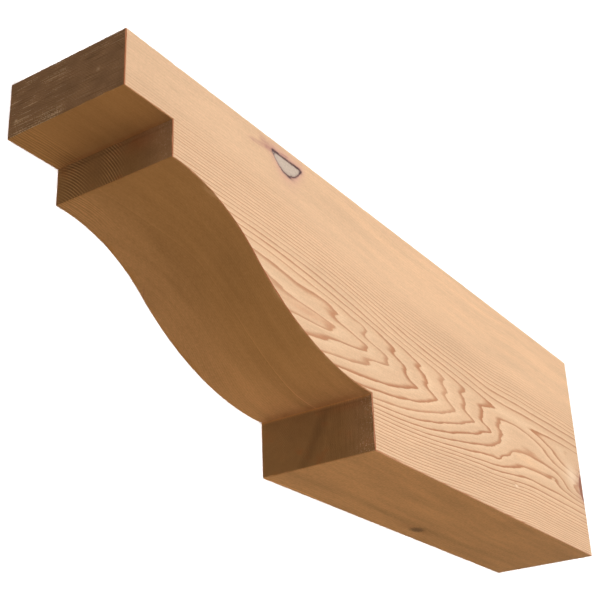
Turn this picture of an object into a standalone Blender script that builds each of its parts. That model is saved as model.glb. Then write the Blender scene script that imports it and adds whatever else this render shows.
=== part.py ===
"""Carved rafter tail: the end of one solid timber, with a small step and an ogee cut into its underside.

It lies on one side face, as a loose timber does. +X runs from the carved tip to the square cut at the back,
+Y is the top in use, and +Z goes up through the timber's width. The origin is under the middle of its box.
"""

import math

import bmesh
import bpy

# Timber, in metres
WIDTH = 0.0889  # from side face to side face
ARRIS = 0.0008  # how far the planed edges are eased
ARRIS_FACETS = 2

# Outline seen from the side, from the tip backwards and downwards, in metres
TIP_FACE = 0.0385  # square face at the very end
STEP_TREAD = 0.0410  # underside of the small step
STEP_RISER = 0.0250  # upright face behind the small step
OGEE_RUN = 0.2050  # length of the double curve
OGEE_DROP = 0.0780  # fall of the double curve
HEEL_RISER = 0.0395  # upright face where the carving meets the full timber
FULL_RUN = 0.3636  # timber of full depth behind the carving

# The ogee is a hollow arc and then a swelling one, tangent where they meet and level at both ends
HOLLOW_SHARE = 0.377  # the hollow's part of the two radii together
FACET_ANGLE = math.radians(2.0)

# Finish
FIR_COLOUR = (0.74, 0.50, 0.30, 1.0)
FIR_ROUGHNESS = 0.62

LENGTH = STEP_TREAD + OGEE_RUN + FULL_RUN
DEPTH = TIP_FACE + STEP_RISER + OGEE_DROP + HEEL_RISER
SMOOTH_UNDER = math.radians(50.0)


def clear_scene():
    for obj in list(bpy.data.objects):
        bpy.data.objects.remove(obj, do_unlink=True)


def fir_material():
    material = bpy.data.materials.new("planed_fir")
    material.use_nodes = True
    shader = material.node_tree.nodes["Principled BSDF"]
    shader.inputs["Base Color"].default_value = FIR_COLOUR
    shader.inputs["Roughness"].default_value = FIR_ROUGHNESS
    shader.inputs["Metallic"].default_value = 0.0
    return material


def arc_points(centre, radius, start, turn):
    """Points after the first on an arc about centre, from the angle start through the angle turn."""
    steps = max(2, math.ceil(abs(turn) / FACET_ANGLE))
    angles = (start + turn * step / steps for step in range(1, steps + 1))
    return [(centre[0] + radius * math.cos(a), centre[1] + radius * math.sin(a)) for a in angles]


def ogee_points(x, y):
    """The double curve's points after its start (x, y): a hollow that turns down, then a swell that levels out."""
    turn = 2.0 * math.atan2(OGEE_DROP, OGEE_RUN)
    both_radii = OGEE_RUN / math.sin(turn)
    hollow = both_radii * HOLLOW_SHARE
    swell = both_radii - hollow
    upright = math.pi / 2.0
    points = arc_points((x, y - hollow), hollow, upright, -turn)
    swell_centre = (x + OGEE_RUN, y - OGEE_DROP + swell)
    return points + arc_points(swell_centre, swell, -upright - turn, turn)


def side_outline():
    """The timber's outline in X and Y, anticlockwise from the top of the square cut."""
    back, top = LENGTH / 2.0, DEPTH / 2.0
    tip, step_x = -back, STEP_TREAD - back
    step_y = top - TIP_FACE
    ogee_y = step_y - STEP_RISER
    outline = [(back, top), (tip, top), (tip, step_y), (step_x, step_y), (step_x, ogee_y)]
    outline += ogee_points(step_x, ogee_y)
    return outline + [(outline[-1][0], -top), (back, -top)]


def extrude_outline(mesh, outline):
    """A closed block of the given outline, as thick as the timber is wide."""
    floor = [mesh.verts.new((x, y, 0.0)) for x, y in outline]
    face = mesh.faces.new(floor)
    raised = bmesh.ops.extrude_face_region(mesh, geom=[face])["geom"]
    moved = [item for item in raised if isinstance(item, bmesh.types.BMVert)]
    bmesh.ops.translate(mesh, verts=moved, vec=(0.0, 0.0, WIDTH))
    bmesh.ops.recalc_face_normals(mesh, faces=mesh.faces[:])


def ease_arrises(mesh):
    """Rounds every outer edge a little, and leaves the two inner corners and the curve's facets as they are."""
    outer = [edge for edge in mesh.edges if edge.is_convex and edge.calc_face_angle() > SMOOTH_UNDER]
    bmesh.ops.bevel(
        mesh, geom=outer, offset=ARRIS, segments=ARRIS_FACETS, profile=0.5, affect="EDGES", clamp_overlap=True
    )


def rafter_tail():
    mesh = bmesh.new()
    extrude_outline(mesh, side_outline())
    ease_arrises(mesh)
    data = bpy.data.meshes.new("rafter_tail")
    mesh.to_mesh(data)
    mesh.free()
    data.materials.append(fir_material())
    data.shade_smooth()
    data.set_sharp_from_angle(angle=SMOOTH_UNDER)
    tail = bpy.data.objects.new("rafter_tail", data)
    bpy.context.scene.collection.objects.link(tail)
    return tail


clear_scene()
rafter_tail()
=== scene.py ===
import math
from collections import namedtuple

import bmesh
import bpy
from mathutils import Matrix, Vector, noise


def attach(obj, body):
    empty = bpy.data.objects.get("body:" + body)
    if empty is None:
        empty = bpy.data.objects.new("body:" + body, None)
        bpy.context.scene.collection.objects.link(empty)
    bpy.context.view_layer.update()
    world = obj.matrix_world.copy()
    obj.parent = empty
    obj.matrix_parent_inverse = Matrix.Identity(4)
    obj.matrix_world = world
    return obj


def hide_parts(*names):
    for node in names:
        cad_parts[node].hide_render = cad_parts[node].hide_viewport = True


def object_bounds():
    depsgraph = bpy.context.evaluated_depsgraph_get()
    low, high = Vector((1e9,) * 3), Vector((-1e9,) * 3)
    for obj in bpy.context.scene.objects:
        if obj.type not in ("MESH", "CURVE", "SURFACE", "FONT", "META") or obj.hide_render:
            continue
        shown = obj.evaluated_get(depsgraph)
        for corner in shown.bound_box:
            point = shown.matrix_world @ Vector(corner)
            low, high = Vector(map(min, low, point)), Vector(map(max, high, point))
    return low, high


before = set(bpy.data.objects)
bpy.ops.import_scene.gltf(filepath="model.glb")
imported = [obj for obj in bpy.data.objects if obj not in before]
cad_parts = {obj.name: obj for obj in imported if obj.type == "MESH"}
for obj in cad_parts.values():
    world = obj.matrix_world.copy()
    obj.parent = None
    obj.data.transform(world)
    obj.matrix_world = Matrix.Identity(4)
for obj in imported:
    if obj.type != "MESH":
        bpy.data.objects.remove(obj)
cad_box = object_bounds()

# The timber, from the frame, in metres
LOW, HIGH = cad_box
LENGTH = HIGH.x - LOW.x
DEPTH = HIGH.y - LOW.y
WIDTH = HIGH.z - LOW.z

# The carved outline, from the tip backwards and downwards, in metres
TIP_FACE = 0.0385
STEP_TREAD = 0.0410
STEP_RISER = 0.0250
OGEE_RUN = 0.2050
OGEE_DROP = 0.0780
HOLLOW_SHARE = 0.377
HEEL_X = STEP_TREAD + OGEE_RUN
HEEL_DEPTH = TIP_FACE + STEP_RISER + OGEE_DROP

# The fine mesh, in metres
CELL = 0.0022  # size of its squares
STRIP_ROWS = 22  # rows of squares from the tip's depth down to the curve, or to the heel's corner
ARRIS = 0.0007
ARRIS_FACETS = 3
ARRIS_OVER = math.radians(40.0)  # corners sharper than this are eased
SMOOTH_UNDER = math.radians(12.0)

# From here on, places in the wood are in millimetres: along from the tip, deep below the top, and across from
# the hidden side. A pair says where something starts and where it is complete, or a middle and a spread.
MILLIMETRES = 1000.0  # in a metre
SIDE_TO_SIDE = WIDTH * MILLIMETRES

# Soft random patterns: their reach in x, y and z, and how many finer layers they have
Pattern = namedtuple("Pattern", "x y z layers")
# A marked place: x is along on the faces cut with the grain, and across on the end grain
Mark = namedtuple("Mark", "x depth reach_x reach_depth")
Streak = namedtuple("Streak", "start end width soft")

# Growth rings: cylinders around a pith that runs beside the timber
RING_WIDTH = 1.4
RING_PHASE = 0.6
PITH_DEPTH = 111.0
PITH_OUTSIDE = 17.1  # how far the pith runs outside the hidden side at the tip
PITH_DIP = (297.0, 68.0)
PITH_DIPS_BY = 3.8
PITH_CLIMB = (420.0, 500.0)
PITH_CLIMBS_BY = 5.1
DRIFT = (83.0, 489.0)
RINGS_GAINED = 7.1  # rings that the pith's drift away from the visible side brings, from tip to back

# A ripple in the rings: its height in rings, the depth of its crest, its spread, and where it grows and fades
Ripple = namedtuple("Ripple", "rings depth spread grows fades")
NEVER = None
RIPPLES = (
    Ripple(-0.64, 94.4, 5.4, (158.0, 199.0), NEVER),
    Ripple(-0.21, 98.5, 2.5, (170.0, 220.0), (340.0, 400.0)),
    Ripple(-0.28, 105.6, 4.1, (170.0, 220.0), (420.0, 450.0)),
    Ripple(-0.75, 108.9, 3.2, (130.0, 190.0), (250.0, 310.0)),
    Ripple(-0.75, 113.7, 3.2, (130.0, 190.0), (250.0, 310.0)),
    Ripple(-0.55, 118.0, 3.5, (250.0, 320.0), (425.0, 445.0)),
    Ripple(-0.31, 124.8, 5.0, (180.0, 260.0), (380.0, 440.0)),
    Ripple(-0.70, 67.0, 14.0, (480.0, 610.0), NEVER),
    Ripple(-3.20, 104.6, 11.4, (467.0, 627.0), NEVER),
    Ripple(-1.80, 127.0, 8.0, (540.0, 605.0), NEVER),
)

# A notch in one ring line, where the ring steps inwards, or outwards where its number is below zero
Notch = namedtuple("Notch", "x depth reach_x reach_depth rings")
NOTCHES = (
    Notch(470.0, 127.0, 8.0, 4.0, 0.35),
    Notch(548.0, 126.5, 15.0, 4.0, 0.30),
    Notch(436.0, 136.0, 8.0, 4.0, -0.30),
    Notch(236.0, 98.0, 6.0, 3.0, -0.35),
)

# Where the rings are thinner or thicker over a wider place
TERRACE_RINGS = 2.8
TERRACE_GROWS = (300.0, 540.0)
TERRACE_TOP = (84.0, 109.0)
TERRACE_FOOT = (98.0, 170.0)
THIN_RINGS = 5.5  # more rings than even ones, far above and far below the pith
THIN_ABOVE = (22.0, 82.0)
THIN_BELOW = (143.0, 195.0)
JAGS = Pattern(45.0, 4.0, 1.0, 3.0)
JAGS_BY = 0.09
UNEVEN_RINGS = Pattern(2.6, 400.0, 1.0, 1.0)  # x is in rings
UNEVEN_BY = 0.22
KNOT_BEND_REACH = 6.0
KNOT_BENDS_BY = 2.0

# The dark line that ends each ring and the pale wood that follows it, as parts of the ring
LATE_GROWS = (0.64, 0.93)
LATE_ENDS = (0.965, 1.0)
FRESH_STARTS = (0.0, 0.03)
FRESH_FADES = (0.08, 0.45)
FRESH_SHARE = 0.32
PALE_FADES = (0.2, 0.6)  # on end grain
LINES_VARY = 0.35

# How clearly the ring lines show on the faces cut with the grain, from 0 to 1
FACING = (0.3, 0.7)
QUIET_DEPTH = 20.0  # above this they hardly show
QUIET_DEEPENS = (90.0, 260.0)
QUIET_DEEPENS_BY = 22.0
SHOWN_WITHIN = 30.0
SHOWN_BELOW_QUIET = 0.85
LOW_PART = (125.0, 150.0)
SHOWN_LOW = 0.40
SHOWN_ON_TOP = 0.5
SHOWN_LEAST = 0.2
HIDDEN_BELOW = 0.75
FIBRE_GAPS = 0.06

# Fine marks on the faces cut with the grain, and how strongly each lightens and darkens the wood
FIBRES = Pattern(12.0, 0.9, 0.9, 3.0)
FUZZ = Pattern(2.0, 1.1, 1.1, 2.0)
STREAKS = Pattern(150.0, 3.5, 1.0, 3.0)  # y is in rings
BROAD = Pattern(70.0, 16.0, 12.0, 3.0)
FIBRE_TONE = 0.06
FUZZ_TONE = 0.065
STREAK_TONE = 0.04
BROAD_TONE = 0.035
WARM_SHARE = 0.55
WARM_STREAKY = 0.45
WARM_GROWS = (110.0, 300.0)
WARM_FADES = (10.0, 85.0)
TIP_DIMS = (10.0, 110.0)
TIP_DIMS_BY = 0.05

# The loose knot near the tip: a flat top edge and a rounded belly
TEARDROP = Mark(155.7, 8.0, 16.8, 10.9)
TEARDROP_POWER = 2.2
TEARDROP_SLOPE = 9.0
TEARDROP_ROUNDING = 3.0
TEARDROP_GROWN = 0.3
TEARDROP_STREAKS = (
    Streak((126.0, 5.6), (143.0, 9.4), 3.1, 3.5),
    Streak((115.0, 11.8), (137.0, 9.4), 1.8, 6.0),
)
TEARDROP_DASH = Streak((148.5, 6.3), (157.0, 5.6), 0.55, 2.0)
TEARDROP_CURLS = (Mark(140.6, 9.2, 2.3, 1.7), Mark(171.2, 9.8, 2.0, 1.3), Mark(158.0, 20.0, 4.4, 1.0))
TEARDROP_DOT = Mark(140.4, 9.4, 0.7, 0.6)
TEARDROP_PATCHES = Pattern(4.0, 2.0, 1.0, 4.0)
TEARDROP_SPECKS = Pattern(1.5, 1.2, 1.0, 2.0)
KNOT_RAGS = Pattern(3.0, 3.0, 1.0, 2.0)
KNOT_RAGS_BY = 0.35
ROSY_REACH = 3.4
ROSY_PATCHY = 0.3
PINK_SHARE = 0.5
PINK_PATCHY = 0.28
DASH_SHARE = 0.8
HEART_EDGE = (-1.1, -0.4)
HEART_DARKENS = (0.1, 1.5)
HEART_DARK_SHARE = 0.6
HEART_RIM = 1.6
HEART_RIM_SHARE = 0.25
BARK_LINE = (-0.2, 0.85)
BARK_MOST = 0.95
BARK_PATCHY = 0.35
CURL_SHARE = 0.55
DOT_SHARE = 0.8

# The brown knot in the square cut at the back
BACK_KNOT = Mark(614.0, 121.0, 11.5, 13.2)
BACK_KNOT_LEAN = 0.33  # how far its branch runs backwards for each millimetre inwards
BACK_KNOT_PALE = Mark(588.0, 114.0, 12.0, 7.5)
BACK_PALE_SHARE = 0.7
BACK_KNOT_CLEAR = Mark(598.0, 98.0, 19.0, 7.0)
BACK_KNOT_PATCHES = Pattern(4.0, 3.0, 1.0, 4.0)
BACK_HEART_EDGE = (-2.5, 1.5)
BACK_HEART_SHARE = 0.8
BACK_BARK_LINE = (-0.6, 1.0)
BACK_BARK_SHARE = 0.5
BACK_ROSY_REACH = 4.0
BACK_ROSY_SHARE = 0.5
SWIRL_PITCH = 2.6
SWIRL_LINE = 0.22
SWIRL_REACH = 7.0
SWIRL_SHARE = 0.45

# The small knot on the underside
PIN_KNOT = Mark(431.5, 306.0, 9.6, 29.0)
PIN_KNOT_ACROSS = 15.0
PIN_SHARE = 0.75
PIN_SMEAR = Mark(430.0, 306.0, 22.0, 16.0)
PIN_SMEAR_SHARE = 0.38
PIN_EDGE = (0.35, 1.1)
PIN_BELOW = (120.0, 140.0)
PIN_RAGS = Pattern(2.5, 1.5, 1.0, 2.0)
PIN_CRACKS = Pattern(1.4, 0.9, 1.0, 2.0)

# Single marks on the visible side
FLECK = Mark(465.0, 152.4, 3.0, 0.8)
FLECK_SHADE = Mark(463.5, 150.6, 4.0, 0.9)
FLECK_SHADE_SHARE = 0.5
ORANGE_SMUDGE = Mark(492.0, 124.5, 24.0, 4.0)
SMUDGE_SHARE = 0.6
INNERMOST_RING = Mark(172.0, 110.5, 22.0, 2.4)
REDDENING = 0.5

# The underside: one pale ring that shows on the ogee, with darker ones inside it, and broad bands; and
# painted shade on the middle of the curve, with painted light near its heel end
LIGHT_RING = -24.6
LIGHT_RING_WIDTH = 0.22
LIGHT_RING_GROWS = (120.0, 190.0)
LIGHT_RING_GAIN = 0.30
LIGHT_RING_TONE = 0.12
DARK_RINGS = 8.0
DARK_RINGS_TONE = 0.10
UNDERSIDE_BANDS = ((21.5, 4.0, 0.15), (33.0, 2.5, 0.05), (72.0, 5.0, 0.05))  # across, half width, tone
FLAT_PART = (165.0, 175.0)
FLAT_PART_TONE = 0.03
# painted shade on the middle of the curve, and painted light near its heel end
PAINTED_OGEE_SHADE = (Mark(98.0, 36.0, 48.0, 13.0), Mark(118.0, 68.0, 44.0, 12.0))
PAINTED_OGEE_LIGHT = Mark(222.0, 16.0, 46.0, 24.0)
OGEE_LIGHTER = 0.10
OGEE_DARKER = 0.15
BEHIND_HEEL = (240.0, 260.0)

# The carved faces: how much browner they are, partly their own sawn colour and partly painted shade that
# grows towards the visible side and fades towards the heel; the ruddy painted shade in their inner corners;
# and the saw lines, painted shade and lighter part of the small step's tread
BROWN_AND_SHADE_FADES = (170.0, 250.0)
BROWN_AND_SHADE_FADES_BY = 0.6
UNCARVED_DEPTH = (150.0, 170.0)
STEP_CORNER = (36.0, 46.0)
PAINTED_SHADE_GROWS = (0.0, 60.0)
PAINTED_SHADE_GAIN = 0.35
TREAD_BROWN_AND_SHADE = 0.34
BROWN_AND_SHADE_LEAST = 0.20
# ruddy painted shade in the carving's inner corners, by the heel and by the step
HEEL_INNER_CORNER = ((234.0, 245.0), (246.0, 248.0))
STEP_INNER_CORNER = ((36.0, 40.0), (41.0, 42.0))
CORNER_SPAN = (8.0, 80.0, 12.0)
CORNER_SHADE_SHARE = 0.32
TREAD_RUDDINESS = 0.06
TREAD_PITCH = 2.0
TREAD_WAVER = Pattern(25.0, 4.0, 1.0, 2.0)
TREAD_LINES_END = (16.0, 26.0)
TREAD_LINES_FADE = (45.0, 90.0)
TREAD_LINES_TONE = 0.2
# painted shade on the tread by the step's riser
PAINTED_TREAD_SHADE = (Mark(34.0, 50.0, 18.0, 24.0), Mark(36.0, 13.0, 5.0, 8.0))
TREAD_LIGHTENS = (60.0, 80.0)
TREAD_LIGHTER = 0.08
TREAD_DARKER = 0.10

# End grain: which face it is, by how far it is from the tip, and its patterns, by depth, across and along
BEHIND_TIP = (3.0, 6.0)
AT_RISER = ((20.0, 30.0), (50.0, 60.0))
AT_HEEL = ((200.0, 240.0), (260.0, 300.0))
AT_BACK = (500.0, 600.0)
END_FACING = (0.72, 0.9)
PATCHES = Pattern(9.0, 13.0, 30.0, 3.0)
SCRATCHES = Pattern(0.8, 26.0, 30.0, 2.0)
CROSS_SCRATCHES = Pattern(16.0, 0.8, 30.0, 2.0)
PORES = Pattern(0.9, 0.9, 30.0, 1.0)
HATCH_SHOWN = Pattern(22.0, 11.0, 15.0, 2.0)
HATCH_GROWS = (-0.1, 0.7)
LINES_LEAST = 0.04
DARK_LINES_LEAST = 0.03
RUDDY_PATCHES = (0.2, 1.2)
RUDDY_SHARE = 0.5
HAZED = (58.0, 88.0)
HAZE_SHARE = 0.5
HAZE_AT_RISER = 0.3

# The arcs that the rings draw on the tip and the small step
TIP_PITH = (-28.0, 100.0)  # across and deep: at the tip the pith runs higher and farther out
ARC_PITCH = 1.65
ARC_LINE = 0.2
ARC_SHARE = 0.62
BETWEEN_ARCS = 0.32
RISER_GROUPS = (Mark(14.0, 52.0, 9.5, 30.0), Mark(43.0, 50.0, 7.0, 30.0))
RISER_RUDDY = Mark(68.0, 44.0, 13.0, 7.0)

# The square cut at the back
BACK_END_BROAD = Pattern(4.5, 300.0, 1.0, 1.0)  # x is in rings
BACK_END_PALER = 0.35
BACK_END_TONE = 0.35
BACK_END_UNEVEN = 0.12

# The tip's scratches, and the pale specks along the visible side
SCRATCHES_FROM = (0.35, 0.85)
SCRATCHED_LEAST = 0.13
DARK_SCRATCHES_FROM = (0.2, 0.8)
DARK_SCRATCHES_TONE = 0.32
WORN_LEFT = (22.0, 62.0)
WORN_LEFT_SHARE = 0.7
WORN_TOP = (1.0, 10.0)
WORN_TOP_SHARE = 0.45
RUBBED_DEPTH = (30.0, 36.5)
RUBBED_SPAN = (5.0, 42.0, 6.0)
SCRAPES_FROM = (-0.1, 0.7)
SCRAPES_SHARE = 0.85
TIP_NICK = Mark(6.0, 28.0, 1.0, 1.0)
TIP_DOT = Mark(69.0, 19.5, 1.1, 1.1)
SPECKLED = (70.0, 86.0)
SPECKS_FROM = (0.3, 1.0)
SPECKS_SHARE = 0.35
CHIPS_SHARE = 0.9

# The heel's upright face
HEEL_BAND = Streak((144.0, 53.5), (181.0, 33.0), 4.6, 6.0)
HEEL_BAND_TONE = 0.26
HEEL_BAND_EDGE = Streak((144.0, 46.5), (181.0, 26.0), 1.6, 6.0)
HEEL_EDGE_TONE = 0.06
HEEL_RUDDY = Mark(72.0, 145.5, 16.0, 3.5)
HEEL_RUDDY_SHARE = 0.35
HEEL_CHIPS = (Mark(86.0, 146.5, 3.4, 5.0), Mark(82.0, 176.0, 7.0, 4.0), Mark(87.5, 160.0, 1.5, 14.0))
HEEL_LIGHTER = 0.10
CROSS_SCRATCHED = (38.0, 55.0)
CORNER_LINE = 3.0  # a dark line below each inner corner
RISER_LINE_WIDTH = 0.7
HEEL_LINE_WIDTH = 0.6
HEEL_LINE_GROWS = (35.0, 55.0)
# painted warm light along the heel's inner corner: its spread and strength
CORNER_LIGHT_REACH = 1.3
CORNER_LIGHT_SHARE = 0.55

# The eased arrises, with a ruddy painted shade where the lit side turns into the shaded faces
END_ARRIS = (0.06, 0.28)
END_ARRIS_SHADE = 0.85
LOWER_ARRIS = (0.06, 0.4)
LOWER_ARRIS_SHADE = 0.55
CLEAR_OF_KNOT = (3.0, 6.0)

# The surface: its roughness, and the heights of its fine relief in millimetres
ROUGHNESS = 0.6
END_ROUGHER = 0.15
LINES_SMOOTHER = 0.08
LINE_HEIGHT = 0.035
FIBRE_HEIGHT = 0.02
SCRATCH_HEIGHT = 0.03

# Relief in the mesh, in millimetres
FINE_PLACES = (  # from and to, along, deep and across, where the squares are cut smaller
    ((134.0, 178.0), (1.0, 26.0), (88.0, 89.0)),
    ((588.0, 610.0), (100.0, 142.0), (70.0, 89.0)),
    ((417.0, 443.0), (180.0, 182.0), (4.0, 27.0)),
)
FINE_CUTS = 3
ON_FACE = 0.1  # a point this near a face is on it
KNOT_SINK = 0.12
KNOT_RIM = 1.0
CRACK_DEPTH = 0.4
TEARDROP_CRACK = (0.3, 0.6)  # how far inside the knot's edge it is, and how wide
BACK_KNOT_CRACK = (0.6, 0.9)
FLECK_SINK = 0.3
FLECK_SINK_DEEP = 1.5
PIN_SINK_ACROSS = 4.0
CHIP_LENGTH = 8.0
CHIP_RARITY = 0.12
CHIP_DEPTH = 0.9
CHIPS_WITH_FIBRES = 0.45
HEEL_CHIP = (2.0, 3.0)  # its reach along and across
HEEL_CHIP_GAIN = 0.25
ARRIS_TURN = 0.25  # a normal that leans this far towards a second axis is on an arris
ON_WALL = 0.1
OGEE_WAVE = 26.0
OGEE_WAVE_ACROSS = 78.0
OGEE_WAVE_DEPTH = 0.12
OGEE_ENDS = 2.0
OGEE_FACING = 0.5

# Colours of the wood
EARLY_WOOD = (0.645, 0.415, 0.250)
LATE_WOOD = (0.430, 0.190, 0.090)
FRESH_WOOD = (0.780, 0.545, 0.345)
WARM_WOOD = (0.725, 0.452, 0.262)
ROSY_WOOD = (0.545, 0.290, 0.230)
RED_WOOD = (0.560, 0.270, 0.150)
PALE_WOOD = (0.820, 0.610, 0.420)
END_GRAIN = (0.32, 0.205, 0.108)
END_GRAIN_TIP = (0.312, 0.213, 0.163)
END_LINES = (0.54, 0.37, 0.20)
END_ARCS = (0.80, 0.54, 0.30)
END_HAZE = (0.50, 0.335, 0.235)
END_SCRATCHES = (0.72, 0.62, 0.53)
# ruddy end grain, also painted on the tread and as painted shade in the carving's inner corners
RUDDY_WOOD_AND_CORNER_SHADE = (0.34, 0.125, 0.050)
# the carved faces' browner colour, painted over them partly as their own colour and partly as painted shade
CARVED_BROWN_AND_SHADE = (0.41, 0.235, 0.075)
KNOT_HEART = (0.485, 0.385, 0.305)
KNOT_HEART_DARK = (0.34, 0.22, 0.185)
KNOT_BARK = (0.075, 0.035, 0.035)
KNOT_PINK = (0.40, 0.185, 0.150)
KNOT_BROWN = (0.22, 0.085, 0.05)
KNOT_GREY = (0.115, 0.075, 0.060)
# the ruddy painted shade on the eased arrises
RUDDY_ARRIS_SHADE = (0.38, 0.120, 0.040)
# the colour of the painted warm light in the heel's inner corner
PAINTED_CORNER_LIGHT_ORANGE = (0.80, 0.46, 0.21)

# Stage and lights, in metres, watts and watts per square metre
STAGE_RADIUS = 28.0
STAGE_SEGMENTS = 96
FLOOR_COLOUR = (0.92, 0.92, 0.92)
FLOOR_ROUGHNESS = 0.9
BACKDROP_GLOW = 1.1
SUN_STRENGTH = 1.3 * math.pi
SUN_SIZE = math.radians(9.0)
SUN_LEAN = math.radians(2.0)
WARM_LIGHT = (1.0, 0.66, 0.32)
SOFT_LIGHT = (1.0, 0.93, 0.84)
BENCH_LIGHT = (0.60, 0.385, 0.177)
DIM_STUDIO = (0.03, 0.03, 0.03)
HORIZON = (0.48, 0.52)  # where the bench's light ends and the studio's starts, from 0 below to 1 above
Card = namedtuple("Card", "name place turn size energy colour")
CARDS = (
    Card("card_below_timber", (-0.05, -0.55, 0.08), 0.0, (0.5, 0.15), 0.34, WARM_LIGHT),
    Card("card_above_timber", (0.0, 0.60, 0.03), 180.0, (0.9, 0.06), 1.5, SOFT_LIGHT),
    Card("card_behind_timber", (0.80, 0.0, 0.03), 90.0, (0.4, 0.06), 0.8, SOFT_LIGHT),
)

# The camera that the photograph fits
CAMERA_AZIMUTH = math.radians(300.13)
CAMERA_ELEVATION = math.radians(29.39)
CAMERA_ROLL = math.radians(71.74)
CAMERA_DISTANCE = 0.8455
CAMERA_TARGET = Vector((-0.0721, 0.0250, WIDTH / 2.0))
LENS = 73.48
SENSOR = 36.0


def ogee_depth(along):
    """Depth of the double curve below the top, at a distance from the tip."""
    turn = 2.0 * math.atan2(OGEE_DROP, OGEE_RUN)
    both_radii = OGEE_RUN / math.sin(turn)
    hollow = both_radii * HOLLOW_SHARE
    swell = both_radii - hollow
    start = TIP_FACE + STEP_RISER
    run = along - STEP_TREAD
    if run < OGEE_RUN * HOLLOW_SHARE:
        return start + hollow - math.sqrt(hollow**2 - run**2)
    left = OGEE_RUN - run
    return start + OGEE_DROP - swell + math.sqrt(swell**2 - left**2)


def in_frame(along, depth, across):
    """A point in the frame, from its distance behind the tip, below the top and above the hidden side."""
    return Vector((LOW.x + along, HIGH.y - depth, LOW.z + across))


def steps(length):
    return max(1, round(length / CELL))


def add_grid(mesh, columns, rows, point):
    """A sheet of squares; point(u, v) gives a corner's place, with u and v from 0 to 1."""
    def column(i):
        return [mesh.verts.new(point(i / columns, j / rows)) for j in range(rows + 1)]
    corners = [column(i) for i in range(columns + 1)]
    for i in range(columns):
        for j in range(rows):
            mesh.faces.new((corners[i][j], corners[i + 1][j], corners[i + 1][j + 1], corners[i][j + 1]))


def side_zones():
    """The side face in pieces: start, end, depths of the upper and the lower edge, and rows of squares."""
    def straight(depth):
        return lambda along: depth
    top, tip_low, heel, bottom = straight(0.0), straight(TIP_FACE), straight(HEEL_DEPTH), straight(DEPTH)
    upper_rows, heel_rows = steps(TIP_FACE), steps(DEPTH - HEEL_DEPTH)
    return [
        (0.0, STEP_TREAD, top, tip_low, upper_rows),
        (STEP_TREAD, HEEL_X, top, tip_low, upper_rows),
        (STEP_TREAD, HEEL_X, tip_low, ogee_depth, STRIP_ROWS),
        (HEEL_X, LENGTH, top, tip_low, upper_rows),
        (HEEL_X, LENGTH, tip_low, heel, STRIP_ROWS),
        (HEEL_X, LENGTH, heel, bottom, heel_rows),
    ]


def wall_runs():
    """The faces square to the sides, as runs of the outline: number of squares, then u to (along, depth)."""
    def level(start, end, depth):
        return steps(end - start), lambda u: (start + (end - start) * u, depth)
    def upright(along, start, end, rows):
        return rows, lambda u: (along, start + (end - start) * u)
    def ogee(u):
        along = STEP_TREAD + OGEE_RUN * u
        return along, ogee_depth(along)
    return [
        level(0.0, STEP_TREAD, 0.0),
        level(STEP_TREAD, HEEL_X, 0.0),
        level(HEEL_X, LENGTH, 0.0),
        upright(0.0, 0.0, TIP_FACE, steps(TIP_FACE)),
        level(0.0, STEP_TREAD, TIP_FACE),
        upright(STEP_TREAD, TIP_FACE, TIP_FACE + STEP_RISER, STRIP_ROWS),
        (steps(OGEE_RUN), ogee),
        upright(HEEL_X, HEEL_DEPTH, DEPTH, steps(DEPTH - HEEL_DEPTH)),
        level(HEEL_X, LENGTH, DEPTH),
        upright(LENGTH, 0.0, TIP_FACE, steps(TIP_FACE)),
        upright(LENGTH, TIP_FACE, HEEL_DEPTH, STRIP_ROWS),
        upright(LENGTH, HEEL_DEPTH, DEPTH, steps(DEPTH - HEEL_DEPTH)),
    ]


def add_side(mesh, across):
    for start, end, upper, lower, rows in side_zones():
        def point(u, v):
            along = start + (end - start) * u
            return in_frame(along, upper(along) + (lower(along) - upper(along)) * v, across)
        add_grid(mesh, steps(end - start), rows, point)


def add_walls(mesh):
    for count, route in wall_runs():
        add_grid(mesh, count, steps(WIDTH), lambda u, v: in_frame(*route(u), WIDTH * v))


def ease_arrises(mesh):
    outer = [edge for edge in mesh.edges if edge.is_convex and edge.calc_face_angle() > ARRIS_OVER]
    bmesh.ops.bevel(mesh, geom=outer, offset=ARRIS, segments=ARRIS_FACETS, profile=0.5, affect="EDGES")


def in_timber(point):
    """How far a point is behind the tip, below the top and above the hidden side, in millimetres."""
    along, depth, across = point.x - LOW.x, HIGH.y - point.y, point.z - LOW.z
    return along * MILLIMETRES, depth * MILLIMETRES, across * MILLIMETRES


def bell(distance_away):
    return math.exp(-(distance_away**2))


def refine_knots(mesh):
    """Cuts the squares around the knots into smaller ones."""
    for ranges in FINE_PLACES:
        def inside(face):
            place_of_face = in_timber(face.calc_center_median())
            return all(start < value < end for value, (start, end) in zip(place_of_face, ranges))
        edges = dict.fromkeys(edge for face in mesh.faces if inside(face) for edge in face.edges)
        bmesh.ops.subdivide_edges(mesh, edges=list(edges), cuts=FINE_CUTS, use_grid_fill=True)


def knot_sink(gap, crack):
    """A knot has shrunk a little below the planed face, and more where its bark meets the wood."""
    inside, width = crack
    heart = KNOT_SINK if gap < -KNOT_RIM else 0.0
    return heart + CRACK_DEPTH * bell((gap + inside) / width)


def teardrop_sink(along, depth):
    sideways = abs((along - TEARDROP.x) / TEARDROP.reach_x) ** TEARDROP_POWER
    downwards = abs((depth - TEARDROP.depth) / TEARDROP.reach_depth)
    gap = max((sideways + downwards - 1.0) * TEARDROP_SLOPE, TEARDROP.depth - depth)
    return knot_sink(gap, TEARDROP_CRACK)


def back_knot_sink(along, depth):
    stretch = BACK_KNOT.reach_x / BACK_KNOT.reach_depth
    gap = math.hypot(along - BACK_KNOT.x, (depth - BACK_KNOT.depth) * stretch) - BACK_KNOT.reach_x
    return knot_sink(gap, BACK_KNOT_CRACK)


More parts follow.
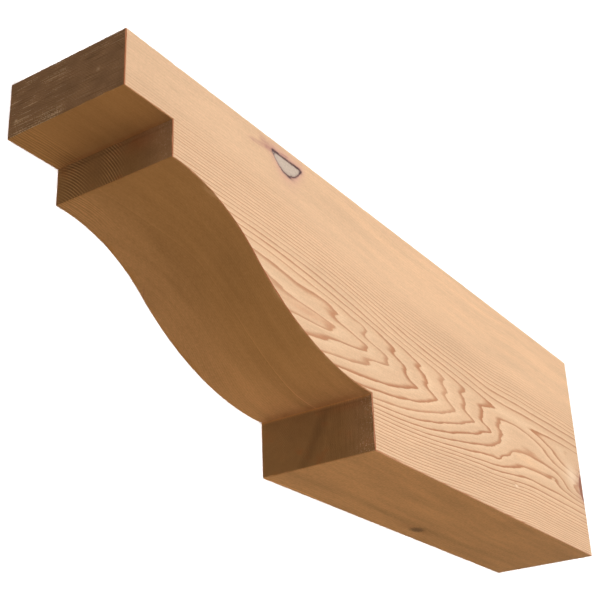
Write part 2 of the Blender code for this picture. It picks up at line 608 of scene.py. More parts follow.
def chipping(normal, along, depth, across):
    """Small chips along the arrises, deeper where fibres end, and deepest on the heel's corner."""
    heel_x = HEEL_X * MILLIMETRES
    leans = sorted(abs(part) for part in normal)
    on_ogee = STEP_TREAD * MILLIMETRES < along < heel_x and abs(normal.z) < ON_WALL
    if on_ogee or leans[1] < ARRIS_TURN:
        return 0.0
    chance_here = noise.noise(Vector((along, depth, across)) / CHIP_LENGTH) - CHIP_RARITY
    reach_along, reach_across = HEEL_CHIP
    heel = bell((along - heel_x) / reach_along) * bell((across - SIDE_TO_SIDE) / reach_across)
    ends_of_fibres = abs(normal.x) > ARRIS_TURN
    depth_here = CHIP_DEPTH if ends_of_fibres else CHIP_DEPTH * CHIPS_WITH_FIBRES
    return max(0.0, chance_here + heel * HEEL_CHIP_GAIN) * depth_here


def on_sawn_curve(along, normal):
    from_step = along - STEP_TREAD * MILLIMETRES
    return OGEE_ENDS < from_step < OGEE_RUN * MILLIMETRES - OGEE_ENDS and normal.y < -OGEE_FACING


def worn_away(vert):
    """How far a point of the surface lies below the true planed and sawn faces, in millimetres."""
    along, depth, across = in_timber(vert.co)
    lost = chipping(vert.normal, along, depth, across)
    if across > SIDE_TO_SIDE - ON_FACE:
        lost += teardrop_sink(along, depth) + back_knot_sink(along, depth)
        fleck = bell((along - FLECK.x) / FLECK.reach_x) * bell((depth - FLECK.depth) / FLECK_SINK_DEEP)
        lost += FLECK_SINK * fleck
    if depth > DEPTH * MILLIMETRES - ON_FACE:
        sideways = bell((across - PIN_KNOT_ACROSS) / PIN_SINK_ACROSS)
        lost += KNOT_SINK * bell((along - PIN_KNOT.x) / PIN_KNOT.reach_x) * sideways
    if on_sawn_curve(along, vert.normal):
        waves = noise.noise(Vector((along / OGEE_WAVE, across / OGEE_WAVE_ACROSS, 0.0)))
        lost += OGEE_WAVE_DEPTH * (1.0 + waves)
    return lost


def wear(mesh):
    mesh.normal_update()
    moves = [(vert, vert.normal * (worn_away(vert) / MILLIMETRES)) for vert in mesh.verts]
    for vert, move in moves:
        vert.co -= move


def dressed_timber(material):
    mesh = bmesh.new()
    add_side(mesh, 0.0)
    add_side(mesh, WIDTH)
    add_walls(mesh)
    bmesh.ops.remove_doubles(mesh, verts=mesh.verts[:], dist=CELL / 100.0)
    bmesh.ops.recalc_face_normals(mesh, faces=mesh.faces[:])
    ease_arrises(mesh)
    refine_knots(mesh)
    wear(mesh)
    data = bpy.data.meshes.new("carved_timber")
    mesh.to_mesh(data)
    mesh.free()
    data.materials.append(material)
    data.shade_smooth()
    data.set_sharp_from_angle(angle=SMOOTH_UNDER)
    timber = bpy.data.objects.new("carved_timber", data)
    bpy.context.scene.collection.objects.link(timber)
    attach(timber, "root")
    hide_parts("rafter_tail")


class Field:
    """A number or colour that a material works out at each point. Arithmetic on fields adds nodes."""

    def __init__(self, tree, socket):
        self.tree = tree
        self.socket = socket

    def __add__(self, other):
        return maths("ADD", self, other)

    def __sub__(self, other):
        return maths("SUBTRACT", self, other)

    def __rsub__(self, other):
        return maths("SUBTRACT", other, self)

    def __mul__(self, other):
        return maths("MULTIPLY", self, other)

    def __truediv__(self, other):
        return maths("DIVIDE", self, other)

    __radd__ = __add__
    __rmul__ = __mul__


def feed(socket, value):
    """Gives a node's socket a field, a colour or a plain number."""
    if isinstance(value, Field):
        value.tree.links.new(value.socket, socket)
    else:
        socket.default_value = value


def maths(operation, *values):
    tree = next(value.tree for value in values if isinstance(value, Field))
    node = tree.nodes.new("ShaderNodeMath")
    node.operation = operation
    for socket, value in zip(node.inputs, values):
        feed(socket, value)
    return Field(tree, node.outputs[0])


def rise(value, start, end):
    """0 up to start, 1 from end on, and a smooth step between them."""
    node = value.tree.nodes.new("ShaderNodeMapRange")
    node.interpolation_type = "SMOOTHSTEP"
    for name, number in (("Value", value), ("From Min", start), ("From Max", end)):
        feed(node.inputs[name], number)
    return Field(value.tree, node.outputs["Result"])


def hump(value, centre, spread):
    """1 at the centre and nearly 0 from two spreads away."""
    away = (value - centre) / spread
    return maths("EXPONENT", away * away * -1.0)


def distance(*parts):
    return maths("SQRT", sum(part * part for part in parts))


def clouds(pattern, x, y, z=0.0):
    """Soft random values, mostly from -1 to 1, that change over about the pattern's reach; x is a field."""
    place = x.tree.nodes.new("ShaderNodeCombineXYZ")
    for socket, value in zip(place.inputs, (x / pattern.x, y / pattern.y, z / pattern.z)):
        feed(socket, value)
    node = x.tree.nodes.new("ShaderNodeTexNoise")
    node.inputs["Scale"].default_value = 1.0
    node.inputs["Detail"].default_value = pattern.layers
    x.tree.links.new(place.outputs[0], node.inputs["Vector"])
    return (Field(x.tree, node.outputs["Fac"]) - 0.5) * 4.0


def chance(whole):
    """A random value from 0 to 1 for each whole number."""
    node = whole.tree.nodes.new("ShaderNodeTexWhiteNoise")
    node.noise_dimensions = "1D"
    feed(node.inputs["W"], whole)
    return Field(whole.tree, node.outputs["Value"])


def paint(under, over, amount):
    """Covers one colour with another as far as amount says, from 0 to 1."""
    node = amount.tree.nodes.new("ShaderNodeMix")
    node.data_type = "RGBA"  # its sockets 6 and 7 are the colours, and 2 is the mixed one
    colour_a, colour_b = node.inputs[6], node.inputs[7]
    feed(node.inputs[0], amount)
    feed(colour_a, under if isinstance(under, Field) else (*under, 1.0))
    feed(colour_b, over if isinstance(over, Field) else (*over, 1.0))
    return Field(amount.tree, node.outputs[2])


def shade(colour, amount):
    """A colour made lighter or darker by a factor."""
    node = amount.tree.nodes.new("ShaderNodeVectorMath")
    node.operation = "SCALE"
    feed(node.inputs["Vector"], colour)
    feed(node.inputs["Scale"], amount)
    return Field(amount.tree, node.outputs["Vector"])


def flat(tree, colour):
    """The same colour everywhere, as a field."""
    node = tree.nodes.new("ShaderNodeRGB")
    node.outputs[0].default_value = (*colour, 1.0)
    return Field(tree, node.outputs[0])


def both(amount, grows, fades):
    """The part of an amount that has grown by grows and not yet gone by fades."""
    grown = rise(amount, *grows)
    return grown * (1.0 - rise(amount, *fades)) if fades else grown


def within(value, start, end, soft):
    """1 between start and end, with soft edges."""
    return both(value, (start - soft, start + soft), (end - soft, end + soft))


def decay(value, reach):
    """1 at zero, falling away over a reach."""
    return maths("EXPONENT", maths("MAXIMUM", value, 0.0) / -reach)


def mark(x, depth, place):
    """1 in the middle of a marked place, and nearly 0 from two of its reaches away."""
    sideways = (x - place.x) / place.reach_x
    downwards = (depth - place.depth) / place.reach_depth
    return maths("EXPONENT", (sideways * sideways + downwards * downwards) * -1.0)


def marks(x, depth, places):
    return sum(mark(x, depth, place) for place in places)


def streak(x, depth, line):
    """1 along a straight streak, with soft ends."""
    (start_x, start_depth), (end_x, end_depth) = line.start, line.end
    slope = (end_depth - start_depth) / (end_x - start_x)
    on_line = hump(depth - x * slope, start_depth - start_x * slope, line.width)
    return on_line * within(x, start_x, end_x, line.soft)


Spot = namedtuple("Spot", "along depth across facing_along facing_down facing_up")
Rings = namedtuple("Rings", "straight number seen_depth knot_gap lines fresh pale")
CutFaces = namedtuple("CutFaces", "tip riser heel back")


def spot_in_timber(tree):
    """Where a point of the surface is, in millimetres, and which way the surface faces there."""
    coords = tree.nodes.new("ShaderNodeTexCoord")
    place = tree.nodes.new("ShaderNodeSeparateXYZ")
    tree.links.new(coords.outputs["Object"], place.inputs[0])
    facing = tree.nodes.new("ShaderNodeSeparateXYZ")
    tree.links.new(coords.outputs["Normal"], facing.inputs[0])
    x, y, z = (Field(tree, socket) for socket in place.outputs)
    facing_x, facing_y, facing_z = (Field(tree, socket) for socket in facing.outputs)
    along = (x - LOW.x) * MILLIMETRES
    depth = (HIGH.y - y) * MILLIMETRES
    across = (z - LOW.z) * MILLIMETRES
    return Spot(along, depth, across, facing_x, facing_y * -1.0, facing_z)


def rings_around_pith(spot):
    """Ring number of straight-grown wood, share of the way to the visible side, and the depth seen there."""
    drift = rise(spot.along, *DRIFT) * RINGS_GAINED
    pith_depth = hump(spot.along, *PITH_DIP) * PITH_DIPS_BY - rise(spot.along, *PITH_CLIMB) * PITH_CLIMBS_BY
    pith_depth = pith_depth + PITH_DEPTH
    to_side = drift * RING_WIDTH + (SIDE_TO_SIDE + PITH_OUTSIDE)
    out = to_side - SIDE_TO_SIDE + spot.across
    off = spot.depth - pith_depth
    number = (distance(out, off) - (SIDE_TO_SIDE + PITH_OUTSIDE)) / RING_WIDTH
    share = out / to_side
    return number, share, pith_depth + off / share


def teardrop_gap(spot, seen_depth):
    """Distance in millimetres outside the teardrop knot, negative inside."""
    ragged = clouds(KNOT_RAGS, spot.along, seen_depth) * KNOT_RAGS_BY
    sideways = maths("POWER", maths("ABSOLUTE", (spot.along - TEARDROP.x) / TEARDROP.reach_x), TEARDROP_POWER)
    downwards = maths("ABSOLUTE", (seen_depth - TEARDROP.depth) / TEARDROP.reach_depth)
    belly = (sideways + downwards - 1.0) * TEARDROP_SLOPE
    rounded = maths("SMOOTH_MAX", belly, TEARDROP.depth - seen_depth, TEARDROP_ROUNDING)
    return rounded + ragged - TEARDROP_GROWN


def ring_bends(spot, straight, seen_depth, knot_gap):
    """How many rings the wood is ahead of straight-grown wood at a point."""
    def rippled(ripple):
        return hump(seen_depth, ripple.depth, ripple.spread) * both(spot.along, ripple.grows, ripple.fades)
    ripples = sum(rippled(ripple) * ripple.rings for ripple in RIPPLES)
    notches = sum(mark(spot.along, seen_depth, notch) * notch.rings for notch in NOTCHES)
    terrace = rise(spot.along, *TERRACE_GROWS) * both(seen_depth, TERRACE_TOP, TERRACE_FOOT) * TERRACE_RINGS
    thin = (1.0 - rise(seen_depth, *THIN_ABOVE) + rise(seen_depth, *THIN_BELOW)) * THIN_RINGS
    jags = clouds(JAGS, spot.along, seen_depth) * JAGS_BY
    uneven = clouds(UNEVEN_RINGS, straight, spot.along) * UNEVEN_BY
    around_knot = decay(knot_gap, KNOT_BEND_REACH) * KNOT_BENDS_BY
    return ripples + notches + terrace + jags + around_knot + thin + uneven


def rings_at(spot):
    """The growth rings: each whole number is a dark line, and the numbers rise outwards from the pith."""
    straight, share, seen_depth = rings_around_pith(spot)
    knot_gap = teardrop_gap(spot, seen_depth)
    number = straight + ring_bends(spot, straight, seen_depth, knot_gap) * share - RING_PHASE
    part = maths("FRACT", number)
    strength = chance(maths("FLOOR", number)) * LINES_VARY + (1.0 - LINES_VARY)
    lines = both(part, LATE_GROWS, LATE_ENDS) * strength
    fresh = both(part, FRESH_STARTS, FRESH_FADES)
    pale = 1.0 - rise(part, *PALE_FADES)
    return Rings(straight, number, seen_depth, knot_gap, lines, fresh, pale)


def paint_teardrop_knot(colour, spot, rings):
    """The loose knot near the tip: a pale heart in dark bark, with rosy wood around and streaks before it."""
    gap, depth = rings.knot_gap, rings.seen_depth
    patches = clouds(TEARDROP_PATCHES, spot.along, depth)
    specks = clouds(TEARDROP_SPECKS, spot.along, spot.depth)
    streaks = sum(streak(spot.along, depth, line) for line in TEARDROP_STREAKS)
    dash = streak(spot.along, depth, TEARDROP_DASH)
    colour = paint(colour, ROSY_WOOD, decay(gap, ROSY_REACH) * (patches * ROSY_PATCHY + 1.0))
    colour = paint(colour, KNOT_PINK, streaks * (patches * PINK_PATCHY + PINK_SHARE) + dash * DASH_SHARE)

    dark_patches = rise(patches + specks * 0.5, *HEART_DARKENS) * HEART_DARK_SHARE
    dark_rim = decay(gap * -1.0, HEART_RIM) * HEART_RIM_SHARE
    heart = shade(flat(colour.tree, KNOT_HEART), patches * 0.08 + specks * 0.14 + 1.04)
    heart = paint(heart, KNOT_HEART_DARK, dark_patches + dark_rim)
    colour = paint(colour, heart, 1.0 - rise(gap, *HEART_EDGE))
    curls = marks(spot.along, depth, TEARDROP_CURLS) * CURL_SHARE
    bark = hump(gap, *BARK_LINE) * (patches * BARK_PATCHY + BARK_MOST)
    colour = paint(colour, KNOT_BARK, maths("MINIMUM", bark + curls, BARK_MOST))
    return paint(colour, KNOT_HEART, mark(spot.along, depth, TEARDROP_DOT) * DOT_SHARE)


def paint_back_knot(colour, spot, seen_depth):
    """The brown knot that the square cut at the back runs through."""
    patches = clouds(BACK_KNOT_PATCHES, spot.along, seen_depth)
    stretch = BACK_KNOT.reach_x / BACK_KNOT.reach_depth
    from_heart = spot.along - BACK_KNOT.x - (SIDE_TO_SIDE - spot.across) * BACK_KNOT_LEAN
    gap = distance(from_heart, (seen_depth - BACK_KNOT.depth) * stretch) - BACK_KNOT.reach_x + patches
    swirl = hump(maths("FRACT", gap / SWIRL_PITCH), 0.5, SWIRL_LINE) * decay(gap, SWIRL_REACH)
    colour = paint(colour, PALE_WOOD, mark(spot.along, seen_depth, BACK_KNOT_PALE) * BACK_PALE_SHARE)
    colour = paint(colour, ROSY_WOOD, decay(gap, BACK_ROSY_REACH) * BACK_ROSY_SHARE)
    colour = paint(colour, KNOT_BROWN, swirl * SWIRL_SHARE)
    colour = paint(colour, KNOT_BROWN, (1.0 - rise(gap, *BACK_HEART_EDGE)) * BACK_HEART_SHARE)
    return paint(colour, KNOT_BARK, hump(gap, *BACK_BARK_LINE) * (patches * 0.2 + BACK_BARK_SHARE))


def paint_pin_knot(colour, spot, seen_depth):
    """The small grey knot on the underside, whose branch leaves the pith steeply."""
    ragged = clouds(PIN_RAGS, spot.along, spot.across) * 0.3
    sideways = (spot.along - PIN_KNOT.x) / PIN_KNOT.reach_x
    downwards = (seen_depth - PIN_KNOT.depth) / PIN_KNOT.reach_depth
    heart = 1.0 - rise(distance(sideways, downwards) + ragged, *PIN_EDGE)
    low = rise(spot.depth, *PIN_BELOW)
    cracks = clouds(PIN_CRACKS, spot.along, spot.across) * 0.25
    colour = paint(colour, KNOT_BROWN, mark(spot.along, seen_depth, PIN_SMEAR) * low * PIN_SMEAR_SHARE)
    return paint(colour, KNOT_GREY, heart * low * (cracks + PIN_SHARE))


def lines_shown(spot, rings, fibres, underneath):
    """How clearly the ring lines show: hardly along the top edge, and most in the lower half of the side."""
    quiet_until = rise(spot.along, *QUIET_DEEPENS) * QUIET_DEEPENS_BY + QUIET_DEPTH
    shown = rise(rings.seen_depth - quiet_until, 0.0, SHOWN_WITHIN) * SHOWN_BELOW_QUIET
    shown = shown + rise(rings.seen_depth, *LOW_PART) * SHOWN_LOW
    shown = shown + rise(spot.facing_down * -1.0, *FACING) * SHOWN_ON_TOP + SHOWN_LEAST
    blank = maths("MINIMUM", mark(spot.along, rings.seen_depth, BACK_KNOT_CLEAR) * 2.0, 1.0)
    return shown * (1.0 - underneath * HIDDEN_BELOW) * (1.0 - blank) * (fibres * FIBRE_GAPS + 1.0)


def ringed_wood(spot, rings, streaks, warm, shown, underneath):
    """Early wood and late wood, with the few single marks on them."""
    on_side = 1.0 - underneath
    colour = paint(EARLY_WOOD, WARM_WOOD, warm * (streaks * WARM_STREAKY + WARM_SHARE))
    colour = paint(colour, FRESH_WOOD, rings.fresh * shown * FRESH_SHARE)
    colour = paint(colour, LATE_WOOD, rings.lines * shown)
    smudge = mark(spot.along, rings.seen_depth, ORANGE_SMUDGE)
    reddened = mark(spot.along, rings.seen_depth, INNERMOST_RING)
    fleck_shade = mark(spot.along, spot.depth, FLECK_SHADE)
    colour = paint(colour, WARM_WOOD, smudge * on_side * SMUDGE_SHARE)
    colour = paint(colour, RED_WOOD, reddened * on_side * REDDENING)
    colour = paint(colour, LATE_WOOD, fleck_shade * spot.facing_up * FLECK_SHADE_SHARE)
    return paint(colour, PALE_WOOD, mark(spot.along, spot.depth, FLECK) * spot.facing_up)


def underside_tone(spot, rings, streaks, fuzz, broad):
    """How much lighter or darker the planed underside and the sawn curve are from place to place, with
    painted shade and light on the curve.
    """
    pale_ring = hump(rings.number, LIGHT_RING, LIGHT_RING_WIDTH)
    pale_ring = pale_ring * (rise(spot.along, *LIGHT_RING_GROWS) * LIGHT_RING_GAIN + LIGHT_RING_TONE)
    edge = LIGHT_RING - 0.5
    dark_rings = both(rings.number, (LIGHT_RING - DARK_RINGS, edge), (edge, LIGHT_RING)) * DARK_RINGS_TONE
    bands = sum(hump(spot.across, middle, half) * tone for middle, half, tone in UNDERSIDE_BANDS)
    bands = (bands + FLAT_PART_TONE) * rise(spot.depth, *FLAT_PART)
    # painted light near the heel end of the curve, and painted shade on its middle
    patches = mark(spot.along, spot.across, PAINTED_OGEE_LIGHT) * OGEE_LIGHTER
    patches = patches - marks(spot.along, spot.across, PAINTED_OGEE_SHADE) * OGEE_DARKER
    patches = patches * (1.0 - rise(spot.along, *BEHIND_HEEL))
    return pale_ring + streaks * 0.06 + broad * 0.06 + fuzz * 0.05 - dark_rings - bands + patches


def paint_carving(colour, spot, underneath):
    """The carved faces are browner, partly their own colour and partly painted shade; ruddy painted shade
    fills their inner corners, painted shade darkens the tread by the riser, and saw lines run along the
    tread.
    """
    # painted shade on top of the sawn faces' own browner colour: less of it towards the heel, more towards
    # the visible side, and a set amount on the tread
    carved = 1.0 - rise(spot.along, *BROWN_AND_SHADE_FADES) * BROWN_AND_SHADE_FADES_BY
    carved = carved * (1.0 - rise(spot.depth, *UNCARVED_DEPTH))
    on_curve = rise(spot.along, *STEP_CORNER)
    on_tread = 1.0 - on_curve
    brown_and_shade = rise(spot.across, *PAINTED_SHADE_GROWS) * on_curve * PAINTED_SHADE_GAIN + on_tread * TREAD_BROWN_AND_SHADE
    brown_and_shade = brown_and_shade + BROWN_AND_SHADE_LEAST
    colour = paint(colour, CARVED_BROWN_AND_SHADE, carved * brown_and_shade * underneath)
    colour = paint(colour, RUDDY_WOOD_AND_CORNER_SHADE, on_tread * underneath * TREAD_RUDDINESS)

    near_hidden_side = 1.0 - rise(spot.across, *TREAD_LINES_END)
    near_hidden_side = near_hidden_side * (1.0 - rise(spot.along, *TREAD_LINES_FADE))
    wavering = spot.across / TREAD_PITCH + clouds(TREAD_WAVER, spot.along, spot.across) * 0.5
    tread_lines = maths("SINE", wavering * 2.0 * math.pi) * near_hidden_side * TREAD_LINES_TONE
    tread_tone = rise(spot.across, *TREAD_LIGHTENS) * TREAD_LIGHTER
    # painted shade on the tread by the step's riser, and a lighter part towards the visible side
    tread_tone = tread_tone - marks(spot.along, spot.across, PAINTED_TREAD_SHADE) * TREAD_DARKER
    colour = shade(colour, (tread_tone * on_tread + tread_lines) * underneath + 1.0)

    # ruddy painted shade in the inner corners by the heel and by the step
    corners = both(spot.along, *HEEL_INNER_CORNER) + both(spot.along, *STEP_INNER_CORNER)
    corners = corners * within(spot.across, *CORNER_SPAN) * underneath
    return paint(colour, RUDDY_WOOD_AND_CORNER_SHADE, corners * CORNER_SHADE_SHARE)


def side_grain(spot, rings, fibres):
    """Wood cut along its fibres."""
    underneath = rise(spot.facing_down, *FACING)
    fuzz = clouds(FUZZ, spot.along, spot.depth, spot.across)
    streaks = clouds(STREAKS, spot.along, rings.straight)
    broad = clouds(BROAD, spot.along, spot.depth, spot.across)
    warm = (1.0 - rise(rings.seen_depth, *WARM_FADES)) * rise(spot.along, *WARM_GROWS)
    shown = lines_shown(spot, rings, fibres, underneath)
    colour = ringed_wood(spot, rings, streaks, warm, shown, underneath)
    tone = fibres * FIBRE_TONE + fuzz * FUZZ_TONE + streaks * (warm * 0.02 + STREAK_TONE) + broad * BROAD_TONE
    tone = tone + underside_tone(spot, rings, streaks, fuzz, broad) * underneath
    colour = shade(colour, tone + rise(spot.along, *TIP_DIMS) * TIP_DIMS_BY + (1.0 - TIP_DIMS_BY))
    colour = paint_carving(colour, spot, underneath)
    colour = paint_teardrop_knot(colour, spot, rings)
    return paint_pin_knot(colour, spot, rings.seen_depth)


def cut_faces(spot):
    """Which of the faces cut across the fibres a point lies on, each from 0 to 1."""
    tip = 1.0 - rise(spot.along, *BEHIND_TIP)
    return CutFaces(tip, both(spot.along, *AT_RISER), both(spot.along, *AT_HEEL), rise(spot.along, *AT_BACK))


def end_rings(spot, rings, on, patches):
    """The colour of end grain and the tone of its rings, which show as faint hatch or as pale arcs."""
    shown = rise(clouds(HATCH_SHOWN, spot.depth, spot.across, spot.along), *HATCH_GROWS)
    shown = shown * (1.0 - on.riser) * (1.0 - on.heel * 0.7)
    groups = marks(spot.across, spot.depth, RISER_GROUPS) * on.riser
    pith_across, pith_depth = TIP_PITH
    arcs = maths("FRACT", distance(spot.across - pith_across, spot.depth - pith_depth) / ARC_PITCH)
    pale_arcs = hump(arcs, 0.5, ARC_LINE)

    ruddy = rise(patches, *RUDDY_PATCHES) * (1.0 - on.tip) * RUDDY_SHARE
    ruddy = ruddy + mark(spot.across, spot.depth, RISER_RUDDY) * on.riser * RUDDY_SHARE
    ruddy = ruddy + mark(spot.across, spot.depth, HEEL_RUDDY) * on.heel * HEEL_RUDDY_SHARE
    colour = paint(flat(spot.along.tree, END_GRAIN), END_GRAIN_TIP, on.tip)
    colour = paint(colour, RUDDY_WOOD_AND_CORNER_SHADE, ruddy)
    colour = paint(colour, EARLY_WOOD, on.back * BACK_END_PALER)
    lines_paled = shown * (0.5 - on.tip * 0.4) + LINES_LEAST + on.back * 0.25
    colour = paint(colour, END_LINES, rings.pale * lines_paled)
    colour = paint(colour, END_ARCS, pale_arcs * (groups * ARC_SHARE + on.tip * (patches * 0.05 + 0.07)))

    tone = rings.lines * (shown * 0.25 + DARK_LINES_LEAST + on.back * BACK_END_TONE) * -1.0
    tone = tone - (1.0 - pale_arcs) * groups * BETWEEN_ARCS
    return colour, tone + clouds(BACK_END_BROAD, rings.number, spot.along) * on.back * BACK_END_UNEVEN


def paint_scratches(colour, spot, on, patches, scratches, pores):
    """What the saw and handling left: pale specks by the visible side, and scratches on the tip."""
    near_side = rise(spot.across, *SPECKLED) * (1.0 - on.tip) * (1.0 - on.back)
    chips = marks(spot.across, spot.depth, HEEL_CHIPS) * on.heel
    specks = rise(pores, *SPECKS_FROM) * (near_side * SPECKS_SHARE + chips * CHIPS_SHARE)
    rubbed = rise(spot.depth, *RUBBED_DEPTH) * within(spot.across, *RUBBED_SPAN)
    scrapes = rubbed * rise(scratches + pores * 0.8, *SCRAPES_FROM)
    worn_left = 1.0 - rise(spot.across, *WORN_LEFT)
    worn_top = 1.0 - rise(spot.depth, *WORN_TOP)
    fine = rise(scratches + pores * 0.35 + patches * 0.3, *SCRATCHES_FROM)
    fine = fine * (worn_left * WORN_LEFT_SHARE + worn_top * WORN_TOP_SHARE + SCRATCHED_LEAST)
    spots = mark(spot.across, spot.depth, TIP_NICK) * 0.95 + mark(spot.across, spot.depth, TIP_DOT) * 0.45
    return paint(colour, END_SCRATCHES, specks + (scrapes * SCRAPES_SHARE + fine + spots) * on.tip)


def end_grain(spot, rings, scratches):
    """Wood cut across its fibres: dark, with the ring lines standing out pale, and scratched by the saw."""
    on = cut_faces(spot)
    patches = clouds(PATCHES, spot.depth, spot.across, spot.along)
    cross_scratches = clouds(CROSS_SCRATCHES, spot.depth, spot.across, spot.along)
    pores = clouds(PORES, spot.depth, spot.across, spot.along)
    colour, tone = end_rings(spot, rings, on, patches)
    haze = rise(spot.across, *HAZED) * (1.0 - on.tip) * (1.0 - on.back)
    colour = paint(colour, END_HAZE, haze * (patches * 0.12 + on.riser * HAZE_AT_RISER + HAZE_SHARE))
    colour = paint_scratches(colour, spot, on, patches, scratches, pores)

    heel_top = HEEL_DEPTH * MILLIMETRES
    # painted warm light along the heel's inner corner
    painted_corner_light = hump(spot.depth, heel_top, CORNER_LIGHT_REACH) * on.heel
    colour = paint(colour, PAINTED_CORNER_LIGHT_ORANGE, painted_corner_light * CORNER_LIGHT_SHARE)
    lines = hump(spot.depth, TIP_FACE * MILLIMETRES + CORNER_LINE, RISER_LINE_WIDTH) * on.riser
    heel_line = hump(spot.depth, heel_top + CORNER_LINE, HEEL_LINE_WIDTH) * on.heel
    lines = lines + heel_line * rise(spot.across, *HEEL_LINE_GROWS)
    bands = streak(spot.depth, spot.across, HEEL_BAND) * HEEL_BAND_TONE
    bands = bands - streak(spot.depth, spot.across, HEEL_BAND_EDGE) * HEEL_EDGE_TONE

    tone = tone + patches * (on.tip * 0.08 + 0.09) + pores * 0.08
    tone = tone - rise(scratches * -1.0, *DARK_SCRATCHES_FROM) * on.tip * DARK_SCRATCHES_TONE
    tone = tone + cross_scratches * (on.heel * rise(spot.across, *CROSS_SCRATCHED) * 0.12 + 0.03)
    tone = tone - bands * on.heel - lines * (patches * 0.06 + 0.14)
    return shade(colour, tone + on.heel * HEEL_LIGHTER + 1.0)


def painted_arris_shade(spot, facing_end, knot_gap):
    """How much ruddy painted shade lies on the eased arrises of the visible side, where the lit side turns
    into the shaded faces, away from the teardrop knot.
    """
    of_ends = rise(facing_end * spot.facing_up, *END_ARRIS) * END_ARRIS_SHADE
    below = rise(spot.facing_down * spot.facing_up, *LOWER_ARRIS) * LOWER_ARRIS_SHADE
    return (of_ends + below) * rise(knot_gap, *CLEAR_OF_KNOT)


def fir_material():
    """Bare sanded fir: growth rings around a pith beside the timber, knots, fibres and darker end grain."""
    material = bpy.data.materials.new("planed_fir")
    material.use_nodes = True
    tree = material.node_tree
    shader = tree.nodes["Principled BSDF"]
    spot = spot_in_timber(tree)
    rings = rings_at(spot)
    fibres = clouds(FIBRES, spot.along, spot.depth, spot.across)
    scratches = clouds(SCRATCHES, spot.depth, spot.across, spot.along)
    facing_end = maths("ABSOLUTE", spot.facing_along)
    is_end = rise(facing_end, *END_FACING)
    colour = paint(side_grain(spot, rings, fibres), end_grain(spot, rings, scratches), is_end)
    colour = paint_back_knot(colour, spot, rings.seen_depth)
    # ruddy painted shade on the eased arrises
    colour = paint(colour, RUDDY_ARRIS_SHADE, painted_arris_shade(spot, facing_end, rings.knot_gap))

    feed(shader.inputs["Base Color"], colour)
    feed(shader.inputs["Roughness"], is_end * END_ROUGHER - rings.lines * LINES_SMOOTHER + ROUGHNESS)
    bump = tree.nodes.new("ShaderNodeBump")
    bump.inputs["Distance"].default_value = 1.0 / MILLIMETRES
    height = rings.lines * (1.0 - is_end) * LINE_HEIGHT + fibres * FIBRE_HEIGHT
    feed(bump.inputs["Height"], height + scratches * is_end * SCRATCH_HEIGHT)
    tree.links.new(bump.outputs["Normal"], shader.inputs["Normal"])
    return material


def plain_material(name, colour, roughness):
    material = bpy.data.materials.new(name)
    material.use_nodes = True
    shader = material.node_tree.nodes["Principled BSDF"]
    shader.inputs["Base Color"].default_value = (*colour, 1.0)
    shader.inputs["Roughness"].default_value = roughness
    return material


def link_stage(name, data):
    stage = bpy.data.objects.new(name, data)
    bpy.context.scene.collection.objects.link(stage)
    stage.visible_diffuse = False
    stage.visible_glossy = False
    return stage


def add_floor():
    mesh = bmesh.new()
    bmesh.ops.create_circle(mesh, cap_ends=True, radius=STAGE_RADIUS, segments=STAGE_SEGMENTS)
    bmesh.ops.translate(mesh, verts=mesh.verts, vec=(0.0, 0.0, LOW.z))
    data = bpy.data.meshes.new("floor")
    mesh.to_mesh(data)
    mesh.free()
    data.materials.append(plain_material("pale_floor", FLOOR_COLOUR, FLOOR_ROUGHNESS))
    link_stage("floor", data)


def add_backdrop():
    """A pale glowing wall far around the floor, so that a low view ends in white. It lights nothing."""
    mesh = bmesh.new()
    bmesh.ops.create_cone(
        mesh, radius1=STAGE_RADIUS, radius2=STAGE_RADIUS, depth=2.0 * STAGE_RADIUS, segments=STAGE_SEGMENTS
    )
    data = bpy.data.meshes.new("backdrop")
    mesh.to_mesh(data)
    mesh.free()
    material = plain_material("pale_backdrop", (0.0, 0.0, 0.0), 1.0)
    shader = material.node_tree.nodes["Principled BSDF"]
    shader.inputs["Emission Color"].default_value = (1.0, 1.0, 1.0, 1.0)
    shader.inputs["Emission Strength"].default_value = BACKDROP_GLOW
    data.materials.append(material)
    wall = link_stage("backdrop", data)
    wall.visible_shadow = False


def add_card(card):
    """A low soft light that stands upright and faces the timber."""
    light = bpy.data.lights.new(card.name, "AREA")
    light.shape = "RECTANGLE"
    light.size, light.size_y = card.size
    light.energy = card.energy
    light.color = card.colour
    panel = bpy.data.objects.new(card.name, light)
    bpy.context.scene.collection.objects.link(panel)
    panel.location = card.place
    panel.rotation_euler = (math.radians(90.0), 0.0, math.radians(card.turn))
    panel.visible_camera = False


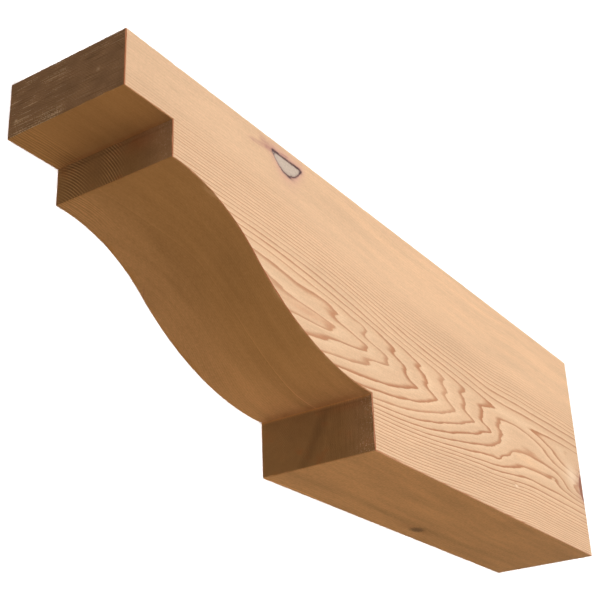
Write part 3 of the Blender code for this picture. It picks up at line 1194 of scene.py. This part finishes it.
def add_lights():
    sun = bpy.data.lights.new("overhead", "SUN")
    sun.energy = SUN_STRENGTH
    sun.angle = SUN_SIZE
    lamp = bpy.data.objects.new("overhead", sun)
    bpy.context.scene.collection.objects.link(lamp)
    lamp.rotation_euler = (SUN_LEAN, -SUN_LEAN, 0.0)
    for card in CARDS:
        add_card(card)


def add_world():
    """A dim studio above the floor's level, and the warm light that a wooden bench throws back below it."""
    world = bpy.data.worlds.new("studio")
    bpy.context.scene.world = world
    world.use_nodes = True
    nodes, links = world.node_tree.nodes, world.node_tree.links
    coords = nodes.new("ShaderNodeTexCoord")
    split = nodes.new("ShaderNodeSeparateXYZ")
    links.new(coords.outputs["Generated"], split.inputs[0])
    height = nodes.new("ShaderNodeMapRange")
    height.inputs["From Min"].default_value = -1.0
    links.new(split.outputs["Z"], height.inputs["Value"])
    ramp = nodes.new("ShaderNodeValToRGB")
    links.new(height.outputs["Result"], ramp.inputs["Fac"])
    links.new(ramp.outputs["Color"], nodes["Background"].inputs["Color"])
    below, above = ramp.color_ramp.elements
    below.position, above.position = HORIZON
    below.color = (*BENCH_LIGHT, 1.0)
    above.color = (*DIM_STUDIO, 1.0)


def add_camera():
    turn, lift, roll = CAMERA_AZIMUTH, CAMERA_ELEVATION, CAMERA_ROLL
    back = Vector((math.sin(turn) * math.cos(lift), -math.cos(turn) * math.cos(lift), math.sin(lift)))
    level = Vector((math.cos(turn), math.sin(turn), 0.0))
    upright = back.cross(level)
    right = level * math.cos(roll) + upright * math.sin(roll)
    up = upright * math.cos(roll) - level * math.sin(roll)
    data = bpy.data.cameras.new("camera")
    data.lens = LENS
    data.sensor_width = SENSOR
    camera = bpy.data.objects.new("camera", data)
    bpy.context.scene.collection.objects.link(camera)
    turned = Matrix((right, up, back)).transposed().to_4x4()
    camera.matrix_world = Matrix.Translation(CAMERA_TARGET + back * CAMERA_DISTANCE) @ turned
    bpy.context.scene.camera = camera


bpy.context.scene.view_settings.view_transform = "Standard"
add_camera()
add_lights()
add_world()
add_floor()
add_backdrop()
dressed_timber(fir_material())
